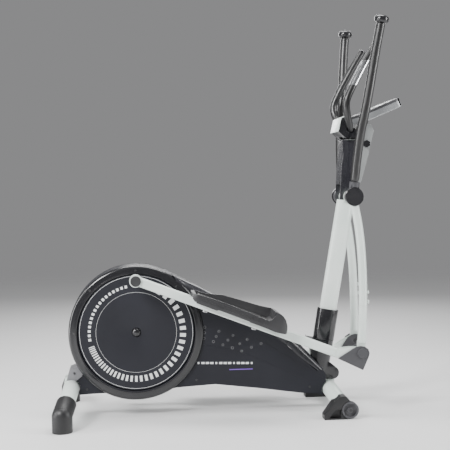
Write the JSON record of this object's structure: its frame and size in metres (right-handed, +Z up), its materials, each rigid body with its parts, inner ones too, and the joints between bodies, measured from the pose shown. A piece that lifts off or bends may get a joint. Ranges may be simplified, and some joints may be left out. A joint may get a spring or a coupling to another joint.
{
  "type": "elliptical trainer",
  "caption": "Upright elliptical cross trainer with a rear crank disc, two pedal arms, swinging handles, a fixed handlebar and a small tilted console.",
  "frame": {"origin": "middle of the bounding box, on the floor plane under the feet", "axes": "+X forward towards the console, +Y to the machine's left, +Z up"},
  "size_m": [1.4174, 0.658, 1.5991],
  "materials": {
    "painted_white": "pearl white powder coat",
    "black_steel": "black painted steel",
    "steel": "zinc plated steel",
    "chrome": "polished sensor plates",
    "anthracite": "satin anthracite ABS",
    "gloss_black": "gloss black ABS",
    "grey_plastic": "mid grey ABS",
    "dark_grey": "dark grey ABS",
    "light_grey": "light grey ABS",
    "foam": "black foam grip",
    "rubber": "black rubber",
    "cast": "turned cast iron",
    "screen": "dark display window"
  },
  "bodies": {
    "frame": {"main_frame": "painted_white", "mast": "painted_white", "crank_bearings": "steel", "fixed_axles": "steel", "mast_boot": "gloss_black", "housing_right": "anthracite", "housing_left": "anthracite", "housing_top_shroud": "anthracite", "housing_screws": "black_steel", "rear_saddle_cover": "grey_plastic", "stabilisers": "painted_white", "feet": "dark_grey", "brake_motor": "dark_grey", "drive_belt": "rubber", "handlebar": "painted_white", "handlebar_grips": "foam", "pulse_sensors": "chrome", "handlebar_clamp": "black_steel", "clamp_cover": "gloss_black", "clamp_panel": "painted_white", "head_cover_rear": "dark_grey", "head_cover_front": "light_grey", "console_back": "dark_grey", "console_bezel": "grey_plastic", "console_display": "screen", "console_bracket": "black_steel"},
    "crank": {"crank_set": "black_steel", "crank_discs": "anthracite", "drive_pulley": "dark_grey"},
    "flywheel": {"flywheel": "cast"},
    "idler": {"belt_idler": "dark_grey"},
    "brake": {"brake_shoe": "steel"},
    "knob": {"tilt_knob": "gloss_black"},
    "wheel_right": {"transport_wheel_right": "gloss_black"},
    "wheel_left": {"transport_wheel_left": "gloss_black"},
    "button_1": {"console_button_1": "rubber"},
    "button_2": {"console_button_2": "rubber"},
    "button_3": {"console_button_3": "rubber"},
    "right_lever": {"right_lever_upper": "painted_white", "right_lever_lower": "painted_white", "right_handle": "black_steel", "right_grip": "foam", "right_lever_caps": "gloss_black"},
    "right_arm": {"right_pedal_arm": "painted_white", "right_arm_pins": "steel", "right_joint_covers": "dark_grey", "right_pedal": "anthracite", "right_pedal_mat": "rubber", "right_pedal_fixings": "dark_grey"},
    "left_lever": {"left_lever_upper": "painted_white", "left_lever_lower": "painted_white", "left_handle": "black_steel", "left_grip": "foam", "left_lever_caps": "gloss_black"},
    "left_arm": {"left_pedal_arm": "painted_white", "left_arm_pins": "steel", "left_joint_covers": "dark_grey", "left_pedal": "anthracite", "left_pedal_mat": "rubber", "left_pedal_fixings": "dark_grey"}
  },
  "joints": [
    {"name": "crank_turn", "type": "hinge", "parent": "frame", "child": "crank", "pos_m": [-0.38173, 0, 0.344], "axis": [0, 1, 0], "range_deg": [0, 90]},
    {"name": "right_lever_swing", "type": "hinge", "parent": "frame", "child": "right_lever", "pos_m": [0.50427, 0, 0.879], "axis": [0, 1, 0], "range_deg": [-25.32, 0]},
    {"name": "left_lever_swing", "type": "hinge", "parent": "frame", "child": "left_lever", "pos_m": [0.50427, 0, 0.879], "axis": [0, 1, 0], "range_deg": [0, 19.35]},
    {"name": "right_arm_hinge", "type": "hinge", "parent": "right_lever", "child": "right_arm", "pos_m": [0.52011, -0.16, 0.2498], "axis": [0, 1, 0], "range_deg": [0, 7.96]},
    {"name": "left_arm_hinge", "type": "hinge", "parent": "left_lever", "child": "left_arm", "pos_m": [0.56382, 0.16, 0.25242], "axis": [0, 1, 0], "range_deg": [-7.29, 0]},
    {"name": "flywheel_spin", "type": "hinge", "parent": "frame", "child": "flywheel", "pos_m": [0.05027, 0, 0.292], "axis": [0, 1, 0], "range_deg": [0, 540.1]},
    {"name": "idler_spin", "type": "hinge", "parent": "frame", "child": "idler", "pos_m": [-0.12573, 0, 0.2124], "axis": [0, 1, 0], "range_deg": [-675.1, 0]},
    {"name": "brake_swing", "type": "hinge", "parent": "frame", "child": "brake", "pos_m": [0.17827, 0, 0.204], "axis": [0, 1, 0], "range_deg": [0, 4]},
    {"name": "tilt_knob_turn", "type": "hinge", "parent": "frame", "child": "knob", "pos_m": [0.57427, -0.056, 1.095], "axis": [0, 1, 0], "continuous": true},
    {"name": "wheel_right_roll", "type": "hinge", "parent": "frame", "child": "wheel_right", "pos_m": [0.45627, -0.235, 0.036], "axis": [0, 1, 0], "continuous": true},
    {"name": "wheel_left_roll", "type": "hinge", "parent": "frame", "child": "wheel_left", "pos_m": [0.45627, 0.235, 0.036], "axis": [0, 1, 0], "continuous": true},
    {"name": "button_1_press", "type": "slide", "parent": "frame", "child": "button_1", "axis": [0.3843, 0, -0.9232], "range_m": [0, 0.0015], "stiffness_N_per_m": 400},
    {"name": "button_2_press", "type": "slide", "parent": "frame", "child": "button_2", "axis": [0.3843, 0, -0.9232], "range_m": [0, 0.0015], "stiffness_N_per_m": 400},
    {"name": "button_3_press", "type": "slide", "parent": "frame", "child": "button_3", "axis": [0.3843, 0, -0.9232], "range_m": [0, 0.0015], "stiffness_N_per_m": 400}
  ],
  "couplings": [
    {"joint": "right_lever_swing", "follows": "crank_turn", "ratio": -0.28122},
    {"joint": "left_lever_swing", "follows": "crank_turn", "ratio": 0.2149},
    {"joint": "right_arm_hinge", "follows": "crank_turn", "ratio": 0.088366},
    {"joint": "left_arm_hinge", "follows": "crank_turn", "ratio": -0.080863},
    {"joint": "flywheel_spin", "follows": "crank_turn", "ratio": 6},
    {"joint": "idler_spin", "follows": "crank_turn", "ratio": -7.5}
  ]
}
